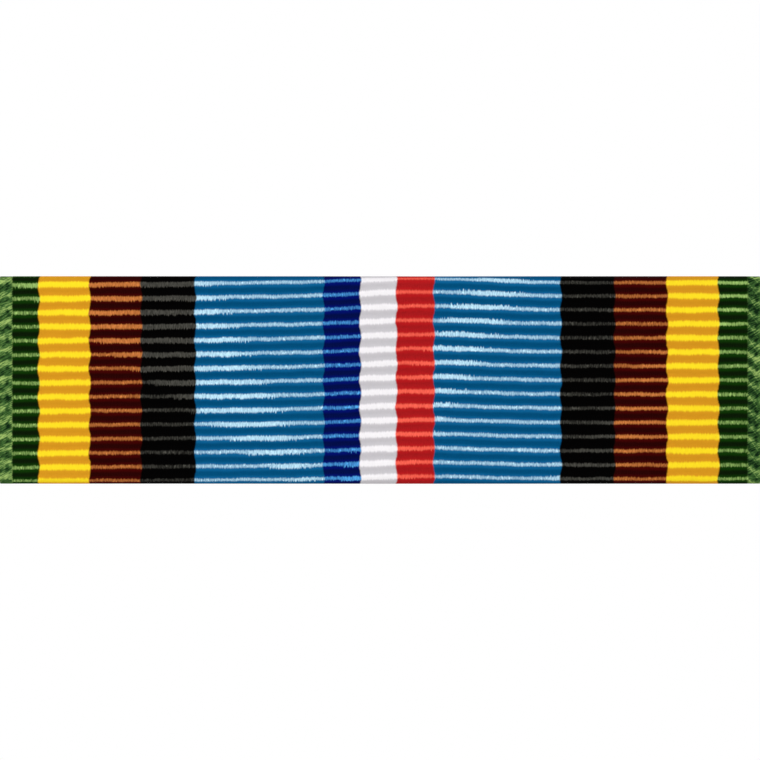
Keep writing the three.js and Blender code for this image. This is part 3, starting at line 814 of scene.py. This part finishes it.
def with_bends(corners, radius, steps=8):
    """A path of straight stretches, with each inner corner bent to the radius."""
    path = [Vector(corners[0])]
    for before, corner, after in zip(corners, corners[1:], corners[2:]):
        corner = Vector(corner)
        back = (Vector(before) - corner).normalized()
        on = (Vector(after) - corner).normalized()
        half = back.angle(on) / 2
        centre = corner + (back + on).normalized() * radius / math.sin(half)
        start = corner + back * radius / math.tan(half) - centre
        end = corner + on * radius / math.tan(half) - centre
        turn = math.atan2(start.cross(end), start.dot(end))
        for i in range(steps + 1):
            spun = Matrix.Rotation(turn * i / steps, 2) @ start
            path.append(centre + spun)
    return [*path, Vector(corners[-1])]


def sheet_outline(path, thickness):
    """The outline of a bent sheet that is equally thick on both sides of the path."""
    sides = ([], [])
    for i, point in enumerate(path):
        before = (point - path[i - 1]).normalized() if i else None
        after = (path[i + 1] - point).normalized() if i + 1 < len(path) else None
        into, out = before or after, after or before
        along = (into + out).normalized()
        reach = thickness / 2 / math.sqrt((1 + into.dot(out)) / 2)
        across = Vector((-along.y, along.x)) * reach
        sides[0].append(point + across)
        sides[1].append(point - across)
    return [tuple(point) for point in (*sides[0], *reversed(sides[1]))]


channel_low, channel_high = (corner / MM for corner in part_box("slide_channel"))
web = channel_low.y + CHANNEL_SHEET / 2
lip = channel_high.y - CHANNEL_SHEET / 2
wall = channel_high.z - CHANNEL_SHEET / 2
route = [(lip, -CHANNEL_LIP), (lip, -wall), (web, -wall), (web, wall), (lip, wall), (lip, CHANNEL_LIP)]
outline = sheet_outline(with_bends(route, CHANNEL_BEND), CHANNEL_SHEET)
strip = drawn(outline, channel_low.x, channel_high.x)
for x in STAKES:
    hole = [(STAKE_HOLE, channel_low.y - CUT_SPARE), (STAKE_HOLE, web + CHANNEL_SHEET)]
    hole = turned([(0, hole[0][1]), *hole, (0, hole[1][1])])
    strip = fitted(strip, moved(hole, x=x))
channel_brass = metal("channel_brass", CHANNEL_BRASS, CHANNEL_DULL, 0.34, (0.5, 16, 16), 0.55)
channel = made_piece("slide_channel_strip", eased(strip, SHEET_EDGE), channel_brass)
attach(channel, "ribbon_unit")
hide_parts("slide_channel")

# ---- Mount bar ----
# A heavier strip of brass, dished back between two flanges that run in the channel's rails. The flanges'
# ends are clipped at a slant, and a small pip near each end stops the ribbon from sliding off.
MOUNT_SHEET = 0.5
MOUNT_BEND = 0.5
MOUNT_DISH = 1.956
MOUNT_FLANGE = 2.323
MOUNT_CLIP = 0.9
MOUNT_EDGE = 0.06
PIP = (0.2, 0.09)
PIP_ROOT = 0.2
PIP_INSET = 2.2
PIP_HEIGHT = 3.36
POST_HOLE = 0.565
POST_HOLE_REACH = (-1, 0.5)
CLIP_REACH = (0.5, -0.1)
SIDES = ("left", "right")
MOUNT_BRASS = (0.84, 0.62, 0.27, 1)
MOUNT_DULL = (0.55, 0.38, 0.16, 1)

mount_low, mount_high = (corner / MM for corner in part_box("mount_bar"))
post_boxes = [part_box(f"{side}_post") for side in SIDES]
post_places = [(low.x + high.x) / 2 / MM for low, high in post_boxes]
web = mount_high.y - MOUNT_SHEET / 2
flange_front = mount_low.y + PIP[1]
flange = flange_front + MOUNT_SHEET / 2
wall = mount_high.z
route = [(flange, -wall), (flange, -MOUNT_FLANGE), (web, -MOUNT_DISH)]
route += [(y, -z) for y, z in reversed(route)]
outline = sheet_outline(with_bends(route, MOUNT_BEND), MOUNT_SHEET)
bar = drawn(outline, mount_low.x, mount_high.x)
corners = [(x, z) for x in (mount_low.x, mount_high.x) for z in (-wall, wall)]
for x, z in corners:
    clip = [(x - MOUNT_CLIP, z), (x, z - MOUNT_CLIP), (x + MOUNT_CLIP, z), (x, z + MOUNT_CLIP)]
    bar = fitted(bar, drawn(clip, mount_low.y - CLIP_REACH[0], CLIP_REACH[1], "XZY"))
hole_front, hole_back = POST_HOLE_REACH
for x in post_places:
    hole = turned([(0, hole_front), (POST_HOLE, hole_front), (POST_HOLE, hole_back), (0, hole_back)])
    bar = fitted(bar, moved(hole, x=x))
bar = eased(bar, MOUNT_EDGE)
pip_radius, pip_rise = PIP
for x, z in corners:
    dome = arc(0, 0, 1, -90, 0, 6)
    dome = [(pip_radius * a, pip_rise * b) for a, b in dome]
    pip = turned([(0, -pip_rise), *dome[1:], (pip_radius, PIP_ROOT), (0, PIP_ROOT)])
    place = (x - math.copysign(PIP_INSET, x), flange_front, math.copysign(PIP_HEIGHT, z))
    bar = fitted(bar, moved(pip, *place), how="UNION")
bmesh.ops.dissolve_degenerate(bar, edges=bar.edges, dist=1e-4)
mount_brass = metal("mount_brass", MOUNT_BRASS, MOUNT_DULL, 0.28, (0.45, 18, 18), 0.5)
mount = made_piece("mount_strip", bar, mount_brass)
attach(mount, "mount")
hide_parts("mount_bar")

# ---- Posts ----
# Two nails turned from brass wire. Each is riveted through the mount bar with its low domed head in the
# dish, and has a groove for the clutch's jaws and a blunt point that finds its way through the cloth.
POST_SHANK = 0.535
POST_HEAD = (1.5, 0.3)
POST_GROOVE = (0.4, 0.5, 2.2)
POST_POINT = (1.3, 0.1)
POST_HEAD_ROUND = 0.15
# Two points soften each corner of the turned profile, this far from it.
POST_CORNER = (0.02, 0.03)
POST_BRASS = (0.90, 0.72, 0.38, 1)
POST_DULL = (0.60, 0.44, 0.20, 1)


def turning_rings(pitch):
    """The fine rings that a lathe tool leaves round a piece."""

    def marks(nodes, place, relief):
        split = add(nodes, "SeparateXYZ")
        feed(split.inputs[0], place)
        shiver = sums(nodes, "MULTIPLY_ADD", noise(nodes, place, 3, 2), 1.5, 0)
        turn = sums(nodes, "MULTIPLY_ADD", split.outputs["Y"], 2 * math.pi / pitch, shiver)
        return bumped(nodes, sums(nodes, "SINE", turn), 0.0015, 0.8, relief)

    return marks


post_brass = metal("post_brass", POST_BRASS, POST_DULL, 0.24, (6, 6, 6), 0.35, turning_rings(0.07))
head_radius, head_thickness = POST_HEAD
groove_radius, groove_width, groove_to_tip = POST_GROOVE
point_length, point_radius = POST_POINT
for side, x in zip(SIDES, post_places):
    low, high = (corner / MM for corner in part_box(f"{side}_post"))
    under_head = low.y + head_thickness
    slope = POST_SHANK - groove_radius
    groove_low = high.y - groove_to_tip - groove_width / 2
    groove_high = high.y - groove_to_tip + groove_width / 2
    near, far = POST_CORNER
    lean = math.degrees(math.atan2(POST_SHANK - point_radius, point_length - point_radius))
    nail = turned(
        [
            (0, low.y),
            (head_radius * 0.55, low.y + 0.01),
            *arc(head_radius - POST_HEAD_ROUND, low.y + 0.17, POST_HEAD_ROUND, -75, 0, 5),
            (head_radius, under_head - 0.04),
            (head_radius - 0.04, under_head),
            (POST_SHANK + 0.015, under_head),
            (POST_SHANK, under_head + far),
            (POST_SHANK, groove_low - slope - far),
            (POST_SHANK - near, groove_low - slope + near),
            (groove_radius + near, groove_low - near),
            (groove_radius, groove_low + far),
            (groove_radius, groove_high - far),
            (groove_radius + near, groove_high + near),
            (POST_SHANK - near, groove_high + slope - near),
            (POST_SHANK, groove_high + slope + far),
            (POST_SHANK, high.y - point_length - 0.05),
            (POST_SHANK - 0.01, high.y - point_length + 0.05),
            *arc(0, high.y - point_radius, point_radius, 90 - lean * 3, 90, 5)[:-1],
            (0, high.y),
        ],
        turns=64,
    )
    nail.faces.layers.float.new("worn")
    post = made_piece(f"{side}_nail", moved(nail, y=-under_head), post_brass, (x, under_head, 0))
    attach(post, "mount")
    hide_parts(f"{side}_post")

# ---- Clutch bases ----
# A disc pressed from thin brass sheet that lies against the cloth. Its edge is rolled up and in over the
# cap's flange, its pin hole has a raised collar, and a ring pressed into it keeps it stiff.
CLUTCH_SHEET = 0.3
CLUTCH_RIM_LIP = 0.7
CLUTCH_HOLE = 0.75
CLUTCH_COLLAR = 0.3
CLUTCH_FLANGE_TOP = 0.63
CLUTCH_FLANGE_PLAY = 0.03
CLUTCH_RING = (3.1, 0.35, 0.07)
# How far the pin hole's mouth, the lip's edge and the collar's outer and inner edges are rounded.
MOUTH_ROUND = 0.15
LIP_ROUND = 0.05
COLLAR_ROUNDS = (0.08, 0.06)
CLUTCH_BRASS = (0.90, 0.68, 0.32, 1)
CLUTCH_DULL = (0.62, 0.42, 0.18, 1)


def spun_rings(pitch):
    """The rings that pressing and polishing leave on a disc, round its own middle."""

    def marks(nodes, place, relief):
        flat = add(nodes, "VectorMath", operation="MULTIPLY")
        feed(flat.inputs[0], place)
        flat.inputs[1].default_value = (1, 0, 1)
        out = add(nodes, "VectorMath", operation="LENGTH")
        feed(out.inputs[0], flat.outputs[0])
        ring = add(nodes, "CombineXYZ")
        feed(ring.inputs["X"], sums(nodes, "DIVIDE", out.outputs["Value"], pitch))
        swirl = noise(nodes, ring.outputs[0], 1, 3)
        return bumped(nodes, swirl, 0.003, 0.8, relief)

    return marks


clutch_brass = metal("clutch_brass", CLUTCH_BRASS, CLUTCH_DULL, 0.20, (5, 5, 5), 0.4, spun_rings(0.06))
clutches = {}
for side, x in zip(SIDES, post_places):
    low, high = (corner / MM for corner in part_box(f"{side}_clutch_base"))
    radius = (high.x - low.x) / 2
    rim = high.y - low.y
    clutches[side] = (x, low.y, radius, rim)
    ring_radius, ring_width, ring_depth = CLUTCH_RING
    collar = CLUTCH_HOLE + CLUTCH_SHEET
    collar_top = CLUTCH_SHEET + CLUTCH_COLLAR
    lip = radius - CLUTCH_RIM_LIP
    under_flange = CLUTCH_FLANGE_TOP + CLUTCH_FLANGE_PLAY
    outer, inner = COLLAR_ROUNDS
    disc = turned(
        [
            *arc(CLUTCH_HOLE + MOUTH_ROUND, MOUTH_ROUND, MOUTH_ROUND, 180, 270, 5),
            (ring_radius - ring_width, 0),
            (ring_radius - ring_width / 2, ring_depth * 0.8),
            (ring_radius, ring_depth),
            (ring_radius + ring_width / 2, ring_depth * 0.8),
            (ring_radius + ring_width, 0),
            *arc(radius - CLUTCH_SHEET, CLUTCH_SHEET, CLUTCH_SHEET, -90, 0, 8),
            *arc(radius - CLUTCH_SHEET, rim - CLUTCH_SHEET, CLUTCH_SHEET, 0, 90, 8),
            *arc(lip + LIP_ROUND, rim - LIP_ROUND, LIP_ROUND, 90, 180, 3),
            (lip, under_flange),
            (radius - CLUTCH_SHEET, under_flange),
            (radius - CLUTCH_SHEET, CLUTCH_SHEET),
            (collar, CLUTCH_SHEET),
            *arc(collar - outer, collar_top - outer, outer, 0, 90, 3),
            *arc(CLUTCH_HOLE + inner, collar_top - inner, inner, 90, 180, 3),
        ],
        ring=True,
        turns=120,
    )
    disc.faces.layers.float.new("worn")
    base = made_piece(f"{side}_clutch_disc", disc, clutch_brass, (x, low.y, 0))
    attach(base, f"{side}_clutch")
    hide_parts(f"{side}_clutch_base")

# ---- Clutch caps ----
# A shell deep drawn in one piece from thin brass: a flange that the base's rim holds, a turret with a
# window pierced at each side for the wings, and a closed nub over the post's point.
TURRET_RADIUS = 2.7
TURRET_TOP = 2.55
CAP_SEAT = 0.33
NUB_RADIUS = 1.15
TURRET_FOOT = 0.2
WINDOW = ((0.95, 1.75), 2.2)
WINDOW_CORNER = 0.12
CAP_EDGE = 0.035


def draw_lines(nodes, place, relief):
    """Faint upright lines that the drawing die leaves on the shell's walls."""
    split = add(nodes, "SeparateXYZ")
    feed(split.inputs[0], place)
    angle = sums(nodes, "ARCTAN2", split.outputs["X"], split.outputs["Z"])
    around = add(nodes, "CombineXYZ")
    feed(around.inputs["X"], sums(nodes, "MULTIPLY", angle, 26))
    feed(around.inputs["Y"], sums(nodes, "MULTIPLY", split.outputs["Y"], 0.6))
    return bumped(nodes, noise(nodes, around.outputs[0], 1, 3), 0.003, 0.7, relief)


cap_brass = metal("cap_brass", CLUTCH_BRASS, CLUTCH_DULL, 0.18, (5, 5, 5), 0.4, draw_lines)
for side, (x, seat, radius, rim) in clutches.items():
    low, high = (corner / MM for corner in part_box(f"{side}_clutch_cap"))
    nub_top = high.y - seat
    flange_edge = (high.x - low.x) / 2
    inside = TURRET_RADIUS - CLUTCH_SHEET
    nub_inside = NUB_RADIUS - CLUTCH_SHEET
    shoulder = (TURRET_RADIUS - NUB_RADIUS) / 2
    neck = TURRET_TOP + shoulder
    foot = TURRET_RADIUS + TURRET_FOOT
    shell = turned(
        [
            (flange_edge, CAP_SEAT),
            (flange_edge, CLUTCH_FLANGE_TOP),
            (foot, CLUTCH_FLANGE_TOP),
            *arc(foot, CLUTCH_FLANGE_TOP + TURRET_FOOT, TURRET_FOOT, 270, 180, 5)[1:],
            *arc(TURRET_RADIUS - shoulder, TURRET_TOP - shoulder / 2, shoulder, 0, 90, 12),
            *arc(NUB_RADIUS + shoulder, neck + shoulder / 2, shoulder, 270, 180, 12)[1:],
            *arc(0, nub_top - NUB_RADIUS, NUB_RADIUS, 0, 90, 14)[:-1],
            (0, nub_top),
            (0, nub_top - CLUTCH_SHEET),
            *arc(0, nub_top - NUB_RADIUS, nub_inside, 90, 0, 10)[1:],
            (nub_inside, neck + shoulder / 2),
            (NUB_RADIUS, TURRET_TOP),
            (inside - shoulder / 2, TURRET_TOP + shoulder / 4 - CLUTCH_SHEET),
            (inside, TURRET_TOP - shoulder / 2),
            (inside, CAP_SEAT),
        ],
        ring=True,
        turns=96,
    )
    (sill, lintel), half_window = WINDOW
    bottom, top = sill + WINDOW_CORNER, lintel - WINDOW_CORNER
    reach = half_window - WINDOW_CORNER
    opening = [
        *arc(reach, top, WINDOW_CORNER, 0, 90, 4),
        *arc(-reach, top, WINDOW_CORNER, 90, 180, 4),
        *arc(-reach, bottom, WINDOW_CORNER, 180, 270, 4),
        *arc(reach, bottom, WINDOW_CORNER, 270, 360, 4),
    ]
    shell = fitted(shell, drawn(opening, -radius, radius, "ZYX"))
    cap = made_piece(f"{side}_clutch_shell", eased(shell, CAP_EDGE, 50), cap_brass, (x, seat, 0))
    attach(cap, f"{side}_clutch")
    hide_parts(f"{side}_clutch_cap")

# ---- Clutch wings ----
# Two strips of hard spring brass lie across each other inside the turret. Each has a slot whose far edge
# grips the post, and a tail bent up and curled over for finger and thumb to pinch.
WING_SHEET = 0.25
WING_PLATES = {"outer": 1.05, "inner": 1.40}
WING_PINCH = 0.55
WING_HALF_WIDTH = 2.0
WING_TIP_HALF_WIDTH = 2.4
TONGUE_HALF_WIDTH = 1.3
TONGUE_END = 1.45
TONGUE_CHAMFER = 0.5
WING_CORNER = 0.5
WING_BEND = 0.6
WING_RISE = (64, 2.3)
WING_CURL = (0.4, 0.8, 0.2)
WING_EDGE = 0.04
JAW_GAP = 0.04
# The strip is bent longer than the wing at both ends, and the wing's plan is stamped out of it.
STRIP_SPARE = 0.2
STAMP_HEIGHT = 6
WING_BRASS = (0.80, 0.55, 0.25, 1)
WING_DULL = (0.48, 0.28, 0.12, 1)

wing_brass = metal("wing_brass", WING_BRASS, WING_DULL, 0.27, (0.5, 14, 18), 0.55)
for side, (x, seat, _, _) in clutches.items():
    for which, plate_low in WING_PLATES.items():
        middle = plate_low + WING_SHEET / 2
        angle, rise = WING_RISE
        rise -= plate_low - WING_PLATES["outer"]
        curl, curl_length, curl_drop = WING_CURL
        start = (-TONGUE_END - STRIP_SPARE, middle)
        bend = (TURRET_RADIUS + WING_PINCH + WING_BEND, middle)
        top = (
            bend[0] + rise * math.cos(math.radians(angle)),
            middle + rise * math.sin(math.radians(angle)),
        )
        end = (top[0] + curl_length + STRIP_SPARE, top[1] - curl_drop)
        path = with_bends([start, bend, top], WING_BEND)[:-1] + with_bends([bend, top, end], curl)[1:]
        outline = sheet_outline(path, WING_SHEET)
        strip = drawn(outline, -WING_TIP_HALF_WIDTH, WING_TIP_HALF_WIDTH, "XYZ")
        tip = end[0] - STRIP_SPARE
        half_plan = [
            (-TONGUE_END, TONGUE_HALF_WIDTH - TONGUE_CHAMFER),
            (-TONGUE_END + TONGUE_CHAMFER, TONGUE_HALF_WIDTH),
            (POST_SHANK, TONGUE_HALF_WIDTH),
            (POST_SHANK + WING_HALF_WIDTH - TONGUE_HALF_WIDTH, WING_HALF_WIDTH),
            (TURRET_RADIUS + WING_PINCH, WING_HALF_WIDTH),
            (bend[0], WING_TIP_HALF_WIDTH),
            *arc(tip - WING_CORNER, WING_TIP_HALF_WIDTH - WING_CORNER, WING_CORNER, 90, 0, 8),
        ]
        plan = half_plan + [(a, -b) for a, b in reversed(half_plan)]
        wing = fitted(strip, drawn(plan, 0, STAMP_HEIGHT, "XZY"), how="INTERSECT")
        slot_radius = POST_SHANK + JAW_GAP
        slot = [*arc(WING_PINCH, 0, slot_radius, -90, 90, 12), *arc(0, 0, slot_radius, 90, 270, 12)]
        wing = fitted(wing, drawn(slot, plate_low - CUT_SPARE, middle + WING_SHEET, "XZY"))
        wing = eased(wing, WING_EDGE, 50)
        if (side == "left") == (which == "outer"):
            bmesh.ops.rotate(wing, verts=wing.verts, matrix=Matrix.Rotation(math.pi, 3, "Y"))
        spring = made_piece(f"{side}_{which}_spring_wing", wing, wing_brass, (x, seat, 0))
        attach(spring, f"{side}_{which}_wing")
        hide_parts(f"{side}_clutch_{which}_wing")

size = {"cad": [list(cad_low), list(cad_high)], "visual": [list(corner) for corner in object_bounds()]}
